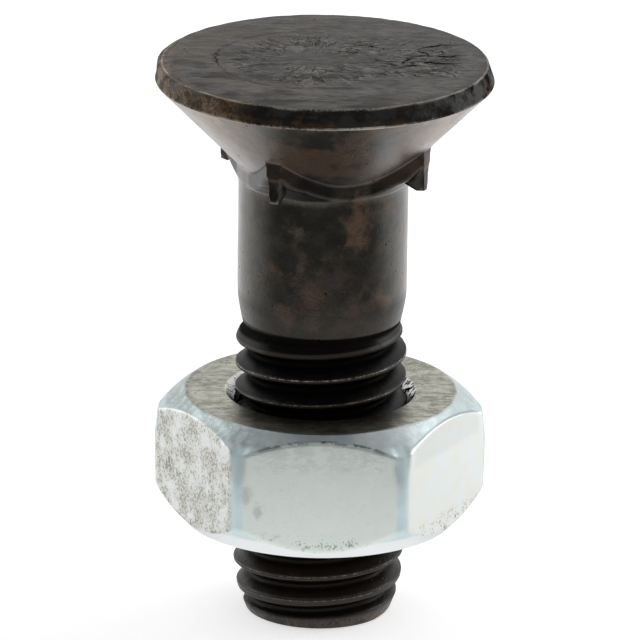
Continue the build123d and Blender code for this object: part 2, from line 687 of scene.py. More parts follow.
        # dull black cover: painted shade on the neck and rim, the darkened shank foot and the top's streaks
        grime_and_shade = (neck_shade_and_soot * 0.6).above(rim_shade).above(self._taper_darkening(at, patch))
        grime_and_shade = grime_and_shade.above(on_top * self._smoke(coat) * 0.4)
        coat.cover((on_top * marks).above(on_thread * soot_and_shade).above(pits * 0.8).above(grime_and_shade), paint(9, 8, 7))
        return coat.material

    def _taper_darkening(self, at: Place, patch: Field) -> Field:
        """How much darker the foot of the shank is made.

        Args:
            at: The point.
            patch: Broad noise.

        Returns:
            The share of darkening from 0 to 1, with a broken dark line above the thread.
        """
        foot = at.z.rise(self.thread_top + 2.1, self.thread_top + 1.2) * 0.35
        seam = at.z.between(self.thread_top + 0.44, self.thread_top + 0.5, 0.09)
        return foot.above(seam * patch.rise(0.4, 0.56) * 0.4)

    @staticmethod
    def _smoke(coat: Coating) -> Field:
        """Dull streaks across the top, most of them in front.

        Args:
            coat: The coating.

        Returns:
            How dull they make it, from 0 to 1.
        """
        at = coat.place
        streaks = coat.noise(at.vector, 1.2, 23, 4.0, 0.6, (2.2, 1.0, 1.0)).rise(0.45, 0.62)
        return streaks * at.x.rise(6.0, 2.0) * (0.3 + at.y.rise(3.0, -3.0) * 0.7)

    def _shank(self, coat: Coating, cloud: Field, patch: Field, fine: Field) -> tuple[Field, Field]:
        """Dark glossy scale with dull rust and coppery patches where it has worn.

        Args:
            coat: The coating.
            cloud: Middle noise.
            patch: Broad noise.
            fine: Fine noise.

        Returns:
            The colour, and how rusty the surface is from 0 to 1.
        """
        at = coat.place
        mottle = (cloud * 0.8 + fine * 0.2).rise(0.35, 0.65)
        scale = coat.mix(mottle, self.scale, self.pale_scale)
        copper = coat.mix(fine.rise(0.3, 0.7), paint(76, 52, 34), paint(108, 78, 54))
        cone = at.z.rise(self.cone_foot, self.cone_foot + 1.0)
        rust = (patch * 0.6 + cloud * 0.4 + cone * 0.12).rise(0.52, 0.66) * 0.65
        # painted sheen: the cone is lightened towards its left and right sides
        warmth = cone * at.x.abs().rise(3.5, 7.0) * (0.35 + cloud.rise(0.4, 0.6) * 0.45)
        colour = coat.layered(scale, (rust, copper), (warmth, paint(170, 148, 128)))
        edges = coat.noise(at.vector, 0.7, 10, 4.0, 0.6)
        for stain in self.stains:
            mark = stain.drawn(coat, edges) * 0.8
            colour = coat.mix(mark, colour, stain.colour)
            rust = rust.above(mark)
        return colour, rust

    def _neck_shade_and_soot(self, at: Place) -> Field:
        """Finds where the neck's flats stand clear of the shank and cone.

        Args:
            at: The point.

        Returns:
            How dark they are made, from 0 to 1: soot, and painted shade under the cone.
        """
        cone = (at.z - self.cone_foot).above(0.0) * self.cone_slope + self.shank_radius
        stand = at.radius - cone
        on_cone = at.z.rise(self.cone_foot, self.cone_foot + 0.3)
        # painted shade: a dark line in the crease where the flats leave the cone
        crease = stand.rise(0.0, 0.1) * stand.rise(0.3, 0.12) * on_cone
        return (stand.rise(0.08, 0.2) * 0.6).above(crease * 0.9) * at.z.between(*self.neck, 0.3)

    def _thread(self, coat: Coating, cloud: Field, fine: Field) -> tuple[Field, Field]:
        """Oily black grooves with painted shade, and a painted highlight on each crest's upper edge.

        Args:
            coat: The coating.
            cloud: Middle noise.
            fine: Fine noise.

        Returns:
            The colour, and how much dull black covers it from 0 to 1: soot and painted shade.
        """
        at = coat.place
        _, above = turn_height(at, self.thread_pitch, self.thread_lead)
        out = at.radius.rise(self.crest_radius - 0.6, self.crest_radius - 0.15)
        high = at.z.rise(*self.bright_crests)
        low = at.z.rise(*self.brown_crests)
        broken = (fine * 0.5 + cloud * 0.5).rise(0.4, 0.58)
        whole = at.z.rise(self.thread_top - 1.35, self.thread_top - 1.95)
        # painted highlight along each crest's upper edge, broken, none on the top ridge, dimmer near the
        # nut
        edge = above.between(*self.crest_edge, 0.025) * out * broken * whole * (0.45 + high * 0.55)
        crest = above.abs().rise(0.64, 0.68) * out
        brown = low.above(at.z.rise(self.thread_top - 0.45, self.thread_top - 0.15) * 1.6)
        # a lighter brown band round the end: wear, with a painted highlight that grows towards the right
        end = at.z.rise(*self.end_wear_and_highlight) * (cloud * 0.5 + fine * 0.5 + at.x * 0.02).rise(0.42, 0.58)
        crest_highlight_colour = coat.mix(fine.rise(0.5, 0.58), paint(150, 134, 112), paint(228, 220, 206))
        colour = coat.layered(
            coat.mix(cloud.rise(0.4, 0.7), paint(10, 9, 9), paint(34, 27, 22)),
            (brown * 0.5, paint(56, 42, 32)),
            (crest * (0.4 + high * 0.3), paint(72, 56, 42)),
            (end * 0.8, paint(118, 98, 84)),
            (edge * 0.85, crest_highlight_colour),
        )
        # painted shade: the dull black thickens towards the bottom of each groove
        root = above.abs().rise(0.45, 0.2) * 0.35
        soot_and_shade = (1 - edge.above(end).above(crest * 0.4)) * (root + 0.6 - low * 0.2)
        # painted shade on the flank under the top ridge, away from the sides
        flank_shade = above.between(-0.6, 0.1, 0.08) * at.z.rise(self.thread_top - 1.3, self.thread_top - 0.9)
        return colour, soot_and_shade.above(flank_shade * at.x.abs().rise(4.3, 2.8) * 0.9)

    def _rim_colour(self, coat: Coating, cloud: Field, patch: Field, fine: Field) -> Field:
        """Dark rim with rusty brown patches, more of them on the left.

        Args:
            coat: The coating.
            cloud: Middle noise.
            patch: Broad noise.
            fine: Fine noise.

        Returns:
            The colour.
        """
        at = coat.place
        pale = coat.mix(at.x.rise(-4.0, -8.0), paint(126, 92, 60), paint(148, 120, 86))
        rust = coat.mix(fine.rise(0.35, 0.65), paint(80, 56, 34), pale)
        left = at.x.rise(-2.0, -8.0) * 0.14
        low = at.z.rise(self.rim_foot + 0.5, self.rim_foot + 0.2) * 0.05
        share = (patch * 0.4 + cloud * 0.6 + left + low).rise(0.5, 0.62) * 0.9
        return coat.mix(share, paint(26, 23, 20), rust)

    def _edge_wear_and_glints(self, at: Place, patch: Field, fine: Field) -> Field:
        """Lightens the two edges of the rim and the fins: wear, and painted highlights.

        Args:
            at: The point.
            patch: Broad noise.
            fine: Fine noise.

        Returns:
            How much they are lightened, from 0 to 1.
        """
        upper = (at.radius - self.edge_radius).abs().rise(0.08, 0.02)
        upper = upper * at.z.rise(self.top - 0.3, self.top - 0.2)
        lower = (at.z - self.rim_foot).abs().rise(0.12, 0.03)
        lower = lower * at.radius.rise(self.edge_radius, self.edge_radius + 0.1)
        # painted glint on the front of the rim's foot
        lower = lower * (1 + at.x.between(1.6, 3.8, 0.8) * 0.8)
        fin = (at.radius - self.fin_radius).abs().rise(0.3, 0.1)
        fin = fin * at.z.rise(self.cone_foot - 0.5, self.cone_foot - 0.8)
        return upper.above(lower).above(fin) * (fine * 0.4 + patch * 0.6).rise(0.36, 0.52) * 0.75

    def _top(self, coat: Coating, cloud: Field, patch: Field) -> tuple[Field, Field]:
        """Grey top: a ring, fine wrinkles that fan out from its middle and a few cracks.

        Args:
            coat: The coating.
            cloud: Middle noise.
            patch: Broad noise.

        Returns:
            The colour, and how deep the marks are from 0 to 1.
        """
        at = coat.place
        x = at.x - self.ring_shift
        out = (x * x + at.y * at.y).root().above(0.05)
        fan = coat.vector(x / out * 4.5, at.y / out * 4.5, out * 0.35)
        spokes = coat.noise(fan, 0.8, 5, 3.0, 0.55)
        waves = coat.noise(at.vector, 0.5, 8, 3.0, 0.6, (3.0, 1.0, 1.0))
        # painted shade: dark lines in the wrinkles' folds, laid dull black by the cover; they also shape
        # the bump
        folds = (spokes - 0.5).abs().rise(0.035, 0.0).above((waves - 0.5).abs().rise(0.03, 0.0) * 0.8)
        # painted highlights along the wrinkles' ridges
        ridge_highlights = (spokes - 0.57).abs().rise(0.05, 0.0).above((waves - 0.56).abs().rise(0.05, 0.0))
        zone = (out + cloud * 2.0 - 1.0).rise(self.ring_radius, self.ring_radius - 1.2)
        zone = zone * (out + cloud).rise(1.2, 2.6)
        zone = zone.above(at.x.between(3.0, 7.2, 1.0) * at.y.between(-2.6, 4.0, 1.0))
        zone = zone * (patch * 0.4 + cloud * 0.6).rise(0.38, 0.56)
        ring = (out + cloud * 0.8 - 0.4 - self.ring_radius).abs().rise(0.25, 0.02)
        ring = ring * (patch + at.x * -0.02).rise(0.5, 0.62)
        marks = (folds * zone * 0.75).above(ring * 0.3)
        for crack in self.cracks:
            marks = marks.above(crack.drawn(coat) * 0.95)
        streaks = coat.noise(at.vector, 0.3, 9, 4.0, 0.7, (4.0, 1.0, 1.0))
        brushed = (cloud * 0.6 + streaks * 0.4).rise(0.36, 0.64)
        grey = coat.layered(
            coat.mix(brushed, paint(42, 40, 36), paint(92, 89, 84)),
            ((patch + at.x * -0.01).rise(0.48, 0.66) * 0.6, paint(80, 67, 54)),
            (at.y.rise(-5.5, -8.0) * 0.35, paint(52, 48, 43)),
            (ridge_highlights * zone * 0.6, paint(128, 126, 122)),
        )
        return grey, marks


@dataclass(frozen=True)
class ZincPlate:
    """Bright bluish zinc on milled steel, thin and scuffed on the faces.

    The sizes are in millimetres and say where on the nut each look lies. A span is the pair of
    distances between which a look comes in.
    """

    name: str = "zinc_plate"
    foot: float = 5.72
    top: float = 13.22
    face_radius: float = 7.92
    mouth_radius: float = 5.5
    corner: Span = (8.8, 9.15)
    flat: Span = (8.3, 8.4)
    flat_half: Span = (4.75, 4.22)
    edge_distance: float = 8.34
    edge_half: Span = (4.0, 3.5)
    left_side: float = math.radians(210.3)
    right_side: float = math.radians(-29.7)
    front_side: float = math.radians(270.3)
    smudges: tuple[Blotch, ...] = (
        Blotch(math.radians(243.5), 9.5, 0.3, 0.5, paint(150, 138, 116)),
        Blotch(math.radians(247.5), 8.7, 0.25, 0.45, paint(150, 140, 120)),
    )

    def material(self) -> bpy.types.Material:
        """Builds the finish.

        Returns:
            The material.
        """
        coat = Coating(self.name)
        at = coat.place
        fine = coat.noise(at.vector, 0.1, 11, 4.0, 0.65)
        cloud = coat.noise(at.vector, 1.3, 12, 4.0, 0.6)
        smudge = coat.noise(at.vector, 0.7, 13, 3.0, 0.7)
        grain = coat.noise(at.vector, 0.15, 15, 3.0, 0.7, (1.0, 1.0, 1.15))
        streak = coat.noise(at.vector, 0.25, 18, 3.0, 0.7, (3.0, 1.0, 1.0))
        pits = coat.cells(at.vector, 0.45, 16).rise(0.2, 0.1) * smudge.rise(0.45, 0.52)
        ragged = (fine - 0.5) * 0.12
        left = self._side(at, self.left_side, ragged)
        right = self._side(at, self.right_side, ragged)
        front = self._side(at, self.front_side, ragged)
        face_edge = self.face_radius - at.y.rise(-5.0, -7.5) * 0.35
        on_face = at.z.rise(self.top - 0.12, self.top - 0.04)
        on_face = on_face * (at.radius + cloud * 0.3 + ragged).rise(self.face_radius + 0.16, face_edge)
        mouth = at.radius.rise(self.mouth_radius + 0.1, self.mouth_radius - 0.05)
        mouth = mouth * at.z.rise(self.foot + 3.0, self.foot + 4.0)
        # painted highlight: the corners between the flats are made pale and less metallic
        corner = at.radius.rise(*self.corner) * at.z.rise(self.foot + 1.0, self.foot + 1.6)
        corner = corner * (1 - left) * (1 - right) * (1 - front)

        streaks = (streak * 0.5 + smudge * 0.5).rise(0.44, 0.56)
        low = at.z.rise(self.foot + 1.9, self.foot + 0.9) * at.z.rise(self.foot + 0.2, self.foot + 0.6)
        specks = (grain * 0.6 + smudge * 0.4 + right * 0.02).rise(0.55, 0.59) * low
        colour = coat.layered(
            self._plain_colour(coat, cloud, smudge),
            (front, self._front_colour(coat, cloud, smudge, fine)),
            (right, self._right_colour(coat, cloud, smudge)),
            (left, self._left_colour(coat, cloud, smudge, grain)),
            (self._edge(at, self.front_side) * streaks * 0.8, paint(84, 98, 104)),
            # painted shade: the right flat's upper edge is greyed to dim the lamp's highlight there
            (self._edge(at, self.right_side) * 0.8, paint(150, 160, 164)),
            (specks * (right + front * 0.8).below(1.0) * 0.75, paint(120, 110, 92)),
            (on_face, self._machined_colour(coat, cloud, smudge, streak, pits)),
            (mouth, paint(236, 238, 236)),
            (corner * 0.8, paint(214, 234, 238)),
        )
        coat.bump(fine * 0.5 + left * grain * 0.8 + on_face * grain * 0.5 - pits * on_face, 0.02)
        coat.set(
            base_color=colour,
            roughness=0.28 + cloud * 0.1 + left * 0.2 + on_face * 0.03,
            metallic=1 - corner * 0.75 * at.z.rise(self.foot + 4.1, self.foot + 4.7),
        )
        # oil spots in the bore, with painted shade over its front half
        spots = coat.noise(at.vector, 0.35, 17, 3.0, 0.7) - 0.03 - at.x.rise(1.0, -3.0) * 0.06
        oil_and_shade = at.y.rise(0.5, -1.5).above(spots.rise(0.44, 0.52)) * mouth
        coat.cover(oil_and_shade, paint(12, 10, 9))
        return coat.material

    def _plain_colour(self, coat: Coating, cloud: Field, smudge: Field) -> Field:
        """Bluish plate, painted shade on the upper chamfer, a nearly white painted highlight on the lower.

        Args:
            coat: The coating.
            cloud: Middle noise.
            smudge: Small noise.

        Returns:
            The colour.
        """
        at = coat.place
        chamfer = at.z.rise(self.top - 1.5, self.top - 1.1) * at.x.abs().rise(1.5, 4.5)
        # painted highlight: the lower chamfer is made nearly white
        lower_chamfer_highlight = at.z.rise(self.foot + 1.3, self.foot + 0.9)
        # painted shade on the sides of the upper chamfer, darker on the left
        chamfer_shade = coat.mix(at.x.rise(-2.0, 2.0), paint(158, 168, 168), paint(190, 201, 203))
        return coat.layered(
            coat.mix(cloud.rise(0.35, 0.65), paint(204, 219, 222), paint(228, 238, 238)),
            (chamfer * (0.5 + smudge.rise(0.35, 0.6) * 0.5), chamfer_shade),
            (lower_chamfer_highlight, paint(240, 244, 244)),
        )

    def _machined_colour(
        self, coat: Coating, cloud: Field, smudge: Field, streak: Field, pits: Field
    ) -> Field:
        """Brownish machined face, pitted, scuffed at its edge, darkened in front by a painted reflection.

        Args:
            coat: The coating.
            cloud: Middle noise.
            smudge: Small noise.
            streak: Noise drawn out along x.
            pits: 1 in a pit, 0 elsewhere.

        Returns:
            The colour.
        """
        at = coat.place
        brushed = (streak * 0.4 + smudge * 0.3 + cloud * 0.3).rise(0.4, 0.6)
        scuff = at.radius.rise(self.face_radius - 0.5, self.face_radius - 0.1)
        scuff = scuff * at.x.rise(0.0, -3.0) * streak.rise(0.5, 0.56)
        # painted reflection: the face turns dark olive in front of the mouth, where it mirrors the bolt
        bolt_reflection = at.radius.rise(7.3, 5.7) * at.y.rise(-2.5, -5.0)
        return coat.layered(
            coat.mix(brushed, paint(119, 118, 105), paint(186, 185, 172)),
            (pits * 0.85, paint(42, 38, 32)),
            (scuff * 0.7, paint(72, 68, 54)),
            (bolt_reflection * 0.75, paint(66, 57, 34)),
        )

    def _front_colour(self, coat: Coating, cloud: Field, smudge: Field, fine: Field) -> Field:
        """Clean plate, a little warmer in patches, with faint smudges.

        Args:
            coat: The coating.
            cloud: Middle noise.
            smudge: Small noise.
            fine: Fine noise.

        Returns:
            The colour.
        """
        flat = coat.mix(cloud.rise(0.3, 0.7), paint(232, 243, 238), paint(240, 246, 241))
        warmth = (smudge * 0.7 + fine * 0.3).rise(0.56, 0.66) * 0.12
        marks = [(stain.drawn(coat, smudge) * 0.35, stain.colour) for stain in self.smudges]
        return coat.layered(flat, (warmth, paint(190, 184, 168)), *marks)

    @staticmethod
    def _right_colour(coat: Coating, cloud: Field, smudge: Field) -> Field:
        """The brightest side: bluish and warm patches of white."""
        warm = coat.mix(smudge.rise(0.4, 0.6), paint(243, 246, 242), paint(243, 244, 236))
        return coat.mix(cloud.rise(0.42, 0.58), warm, paint(241, 247, 246))

    @staticmethod
    def _left_colour(coat: Coating, cloud: Field, smudge: Field, grain: Field) -> Field:
        """White, scuffed through to brown-grey in fine specks that gather in patches.

        Args:
            coat: The coating.
            cloud: Middle noise.
            smudge: Small noise.
            grain: Fine noise for the specks.

        Returns:
            The colour.
        """
        clean = coat.mix(cloud.rise(0.4, 0.6), paint(243, 246, 245), paint(236, 240, 239))
        share = (cloud * 0.6 + smudge * 0.4).rise(0.36, 0.6)
        specks = (grain + (share - 0.5) * 0.16).rise(0.56, 0.61)
        worn = coat.mix(smudge.rise(0.4, 0.6), paint(112, 109, 98), paint(158, 155, 142))
        return coat.layered(clean, (share * 0.6, paint(214, 212, 199)), (specks * 0.68, worn))

    @staticmethod
    def _seen_from(at: Place, side: float) -> tuple[Field, Field]:
        """How far a point lies out towards a side, and how far it is from that side's middle line."""
        cos, sin = math.cos(side), math.sin(side)
        return at.x * cos + at.y * sin, (at.y * cos - at.x * sin).abs()

    def _edge(self, at: Place, side: float) -> Field:
        """Picks out the upper edge of a flat.

        Args:
            at: The point.
            side: The angle that the flat faces.

        Returns:
            1 along the edge, 0 elsewhere.
        """
        out, along = self._seen_from(at, side)
        near = (out - self.edge_distance).abs().rise(0.1, 0.04)
        return near * along.rise(*self.edge_half) * at.z.rise(self.top - 2.4, self.top - 1.8)

    def _side(self, at: Place, side: float, ragged: Field) -> Field:
        """Picks out a flat.

        Args:
            at: The point.
            side: The angle that the flat faces.
            ragged: How far its border strays.

        Returns:
            1 on the flat, 0 on the others and round its edges.
        """
        out, along = self._seen_from(at, side)
        return (out + ragged * 0.3).rise(*self.flat) * (along + ragged).rise(*self.flat_half)


# ---------------------------------------------------------------- pieces


class Body(Enum):
    """The two bodies that the pieces ride on."""

    BOLT = "bolt_body"
    NUT = "nut_body"


@dataclass
class Bolt:
    """The bolt: rolled thread, shank, square neck with four fins, and countersunk head.

    Attributes give its sizes in millimetres, with angles in radians.
    """

    length: float
    head_radius: float
    end_radius: float = 4.2
    point_radius: float = 4.72
    point_height: float = 1.4
    point_length: float = 3.0
    thread_pitch: float = 1.5
    thread_lead: float = 1.45
    thread_length: float = 16.45
    fade_length: float = 0.95
    bare_length: float = 1.3
    taper_length: float = 2.7
    flank_angle: float = math.radians(30)
    crest_radius: float = 4.94
    crest_rounding: float = 0.06
    root_radius: float = 4.02
    root_width: float = 0.25
    root_rounding: float = 0.12
    shank_radius: float = 4.88
    blank_radius: float = 4.52
    neck_depth: float = 6.95
    neck_span: Span = (26.0, 31.0)
    neck_turn: float = math.radians(19)
    flat_stand: float = 0.02
    fin_radius: float = 6.5
    fin_top_width: float = 1.1
    fin_tip_width: float = 0.45
    fin_hang: float = 0.45
    rim_height: float = 1.1
    rim_bevel: float = 0.36
    cone_slope: float = math.tan(math.radians(44.5))
    worn_angle: float = math.radians(190)
    columns: int = 256
    crowding: float = 0.65
    fine_row: float = 0.075

    @classmethod
    def from_frame(cls) -> "Bolt":
        """Sizes the bolt from its place in the frame."""
        lowest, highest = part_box("bolt")
        return cls(length=highest.z / MM, head_radius=(highest.x - lowest.x) / 2 / MM)

    def build(self) -> bpy.types.Object:
        """Makes the bolt in its finish.

        Returns:
            The piece, riding on its body.
        """
        finish = DarkSteel(top=self.length, rim_foot=self.length - self.rim_height).material()
        piece = turned_blank("plow_bolt", profile_rows(self._profile()), self._angles())
        piece = self._rules().shape(piece, finish)
        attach(piece, Body.BOLT.value)
        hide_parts("bolt")
        return piece

    def _angles(self) -> list[float]:
        """Spaces the blank's columns.

        Returns:
            Their angles, crowded together at the fins.
        """
        fin = self.neck_turn + math.pi / 4
        even = [math.tau * i / self.columns for i in range(self.columns)]
        return [t - self.crowding * math.sin(4 * (t - fin)) / 4 for t in even]

    def _profile(self) -> list[Corner]:
        """Draws the turned blank.

        Returns:
            Its corners, from the flat end up to the middle of the head.
        """
        fine = self.fine_row
        thread_end = self.thread_length
        ledge = self.length - self.neck_depth
        rim_foot = self.length - self.rim_height
        cone_foot = rim_foot - (self.head_radius - self.shank_radius) / self.cone_slope
        past_fin = self.fin_radius + 0.2
        past_height = cone_foot + (past_fin - self.shank_radius) / self.cone_slope
        return [
            Corner(0, 0),
            Corner(self.end_radius, 0, rounding=0.06, spacing=0.6),
            Corner(self.point_radius, self.point_height, rounding=0.3, spacing=fine),
            Corner(self.crest_radius, self.point_length, rounding=0.5, spacing=fine),
            Corner(self.crest_radius, thread_end, rounding=0.5, spacing=fine),
            Corner(self.blank_radius, thread_end + self.fade_length, rounding=0.15, spacing=fine),
            Corner(self.blank_radius + 0.1, thread_end + self.bare_length, rounding=0.1, spacing=fine),
            Corner(self.shank_radius, thread_end + self.taper_length, rounding=5.0, spacing=0.15),
            Corner(self.shank_radius, ledge - 0.05, rounding=0.0, spacing=0.4),
            Corner(self.shank_radius, cone_foot, rounding=0.3, spacing=fine),
            Corner(past_fin, past_height, rounding=0.0, spacing=0.1),
            Corner(self.head_radius, rim_foot, rounding=0.1, spacing=0.3),
            Corner(self.head_radius - self.rim_bevel, self.length, rounding=0.14, spacing=0.18),
            Corner(0, self.length, rounding=0.0, spacing=0.3),
        ]

    def _rules(self) -> Form:
        """Builds the tree that cuts the thread and forges the neck.

        Returns:
            The tree, with a slightly uneven, worn head.
        """
        form = Form(
            "plow_bolt_rules",
            {
                "Thread Pitch": self.thread_pitch,
                "Thread Lead": self.thread_lead,
                "Thread Length": self.thread_length,
                "Crest Radius": self.crest_radius,
                "Root Radius": self.root_radius,
                "Root Width": self.root_width,
                "Shank Radius": self.shank_radius,
                "Ledge Height": self.length - self.neck_depth,
                "Neck Turn": self.neck_turn,
                "Flat Distance": self.shank_radius + self.flat_stand,
                "Fin Radius": self.fin_radius,
                "Fin Top Width": self.fin_top_width,
                "Fin Tip Width": self.fin_tip_width,
                "Fin Hang": self.fin_hang,
            },
        )
        at = form.place()
        radius = self._threaded(form, at)
        radius, height = self._necked(form, at, radius)
        dents = form.noise(at.vector, 2.2, 21, 2.0) - 0.5
        dents = dents * at.z.rise(self.thread_length, self.thread_length + 2) * 0.06
        inside = at.radius.rise(1.0, 3.0) * at.z.rise(self.length, self.length - 0.05)
        left = (at.angle - self.worn_angle).cos().rise(0.75, 0.98)
        fall = at.radius.rise(self.head_radius - 1.5, self.head_radius - 0.35)
        fall = fall * at.z.rise(self.length - 1.0, self.length)
        uneven = form.noise(at.vector, 1.2, 22, 3.0) * 0.1
        uneven = uneven * at.radius.rise(8.2, 9.2) * at.z.rise(self.length - 1.3, self.length)
        radius = radius + dents * inside + fall * left * 0.2
        form.move_to_radius(at, radius, height - fall * left * 0.05 - uneven)
        return form

    def _threaded(self, form: Form, at: Place) -> Field:
        """Cuts the thread into the blank.

        Args:
            form: The bolt's tree.
            at: The point.

        Returns:
            The radius after it.
        """
        pitch, root_radius = form.size("Thread Pitch"), form.size("Root Radius")
        middle, above = turn_height(at, pitch, form.size("Thread Lead"))
        run_out = ((middle - form.size("Thread Length")) / pitch).above(0.0)
        root = root_radius + run_out * (form.size("Crest Radius") - root_radius)
        flank = root + (above.abs() - form.size("Root Width") * 0.5) * (1 / math.tan(self.flank_angle))
        return at.radius.below(flank.above(root, self.root_rounding), self.crest_rounding)

    def _necked(self, form: Form, at: Place, radius: Field) -> tuple[Field, Field]:
        """Forges the square neck and its fins.

        Args:
            form: The bolt's tree.
            at: The point.
            radius: The radius before it.

        Returns:
            The radius and the height after it.
        """
        ledge, shank, reach = form.size("Ledge Height"), form.size("Shank Radius"), form.size("Fin Radius")
        quarter = (at.angle - form.size("Neck Turn") - math.pi / 4) * (2 / math.pi)
        turn = (quarter - quarter.nearest()) * (math.pi / 2)
        from_flat = math.pi / 4 - turn.abs()
        flat = form.size("Flat Distance") / from_flat.cos()
        climb = at.z - ledge
        core = flat.below(shank + climb, 0.3).below(reach)
        share = climb.rise(0.0, 3.2)
        half = (form.size("Fin Tip Width") * (1 - share) + form.size("Fin Top Width") * share) * 0.5
        fin = (reach / turn.cos()).below(half / turn.abs().sin().above(0.001), 0.25)
        fin = shank * 0.9 + (fin - shank * 0.9) * climb.rise(0.4, 0.5)
        side = at.radius.rise(shank - 0.3, shank - 0.2) * at.z.between(*self.neck_span, 0.1)
        forged = radius.above(core, 0.2).above(fin, 0.3)
        radius = radius + (forged - radius) * side
        hook = radius.rise(5.5, 6.2) * (1 - radius.rise(6.2, 6.6) * 0.3)
        hang = hook * climb.rise(1.6, 0.45) * climb.rise(0.3, 0.45) * form.size("Fin Hang")
        return radius, at.z - hang


@dataclass
class Nut:
    """The hexagonal nut, chamfered on both faces.

    Attributes give its sizes in millimetres, with angles in radians.
    """

    foot: float
    height: float
    across_flats: float = 16.85
    turn: float = math.radians(0.3)
    corner_radius: float = 9.573
    corner_blend: float = 0.93
    face_inset: float = 0.5
    top_chamfer: float = math.tan(math.radians(36.5))
    bottom_chamfer: float = math.tan(math.radians(47))
    bore_radius: float = 5.0
    mouth_width: float = 0.5
    edge_rounding: float = 0.28
    corner_wear: float = 0.14
    columns: int = 480

    @classmethod
    def from_frame(cls) -> "Nut":
        """Sizes the nut from its place in the frame."""
        lowest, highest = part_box("nut")
        return cls(foot=lowest.z / MM, height=(highest.z - lowest.z) / MM)

    def build(self) -> bpy.types.Object:
        """Makes the nut in its finish.

        Returns:
            The piece, riding on its body.
        """
        finish = ZincPlate(foot=self.foot, top=self.foot + self.height).material()
        angles = [math.tau * i / self.columns for i in range(self.columns)]
        piece = turned_blank("hex_nut", profile_rows(self._profile())[:-1], angles)
        piece = self._rules().shape(piece, finish)
        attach(piece, Body.NUT.value)
        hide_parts("nut")
        return piece

    def _profile(self) -> list[Corner]:
        """Draws the ring that the hexagon is milled from.

        Returns:
            Its corners, as a loop.
        """
        top = self.foot + self.height
        middle = self.foot + self.height / 2
        face = self.across_flats / 2 - self.face_inset
        wide = self.corner_radius - face
        mouth = self.bore_radius + self.mouth_width
        lower = self.foot + wide * self.bottom_chamfer
        upper = top - wide * self.top_chamfer
        return [
            Corner(self.bore_radius, middle),
            Corner(self.bore_radius, self.foot + self.mouth_width, rounding=0.05, spacing=0.6),
            Corner(mouth, self.foot, rounding=0.05, spacing=0.2),
            Corner(face, self.foot, rounding=0.2, spacing=0.25),
            Corner(self.corner_radius, lower, rounding=self.edge_rounding, spacing=0.12),
            Corner(self.corner_radius, upper, rounding=self.edge_rounding, spacing=0.12),
            Corner(face, top, rounding=0.2, spacing=0.12),
            Corner(mouth, top, rounding=0.05, spacing=0.25),
            Corner(self.bore_radius, top - self.mouth_width, rounding=0.05, spacing=0.2),
            Corner(self.bore_radius, middle, rounding=0.0, spacing=0.6),
        ]

    def _rules(self) -> Form:
        """Builds the tree that mills the hexagon and its curved chamfer edges.

        Returns:
            The tree, with worn corner tips.
        """
        form = Form(
            "hex_nut_rules",
            {
                "Across Flats": self.across_flats,
                "Corner Radius": self.corner_radius,
                "Corner Blend": self.corner_blend,
                "Face Radius": self.across_flats / 2 - self.face_inset,
                "Foot": self.foot,
                "Top": self.foot + self.height,
                "Top Chamfer": self.top_chamfer,
                "Bottom Chamfer": self.bottom_chamfer,
                "Turn": self.turn,
                "Corner Wear": self.corner_wear,
            },
        )
        at = form.place()
        upper, lower = form.size("Top Chamfer"), form.size("Bottom Chamfer")
        sixth = (at.angle - form.size("Turn") - math.pi / 6) * (3 / math.pi)
        turn = (sixth - sixth.nearest()).abs() * (math.pi / 3)
        apothem = form.size("Across Flats") * 0.5
        hexagon = apothem / turn.cos()
        hexagon = hexagon.below(apothem / (math.pi / 3 - turn).cos(), form.size("Corner Blend"))
        face = form.size("Face Radius")
        wide = form.size("Corner Radius") - face
        shrink = (hexagon - face) / wide
        out = (at.radius - face).above(0.0)
        low = form.size("Foot") + wide * lower
        high = form.size("Top") - wide * upper
        share = ((at.z - low) / (high - low)).above(0.0).below(1.0)
        lift = (out - out * shrink) * (share * upper - (1 - share) * lower)
        near_end = (share - 0.5).abs().rise(0.1, 0.5) * (0.3 + share * 0.7)
        tip = shrink.rise(0.88, 1.0) * (out / wide).rise(0.5, 1.0) * near_end
        radius = at.radius - out + out * shrink
        form.move_to_radius(at, radius - tip * form.size("Corner Wear"), at.z + lift)
        return form


# ---------------------------------------------------------------- studio


@dataclass(frozen=True)
class Softbox:
    """A rectangular studio lamp: where it hangs, its size in metres and its power in watts."""

    name: str
    place: tuple[float, float, float]
    width: float
    height: float
    power: float

    def hang(self, aim: Vector) -> None:
        """Hangs the lamp.

        Args:
            aim: The point that it is turned to.
        """
        lamp = bpy.data.lights.new(self.name, "AREA")
        lamp.shape = "RECTANGLE"
        lamp.size, lamp.size_y, lamp.energy = self.width, self.height, self.power
        holder = bpy.data.objects.new(self.name, lamp)
        bpy.context.scene.collection.objects.link(holder)
        holder.location = self.place
        holder.rotation_euler = (aim - Vector(self.place)).to_track_quat("-Z", "Y").to_euler()


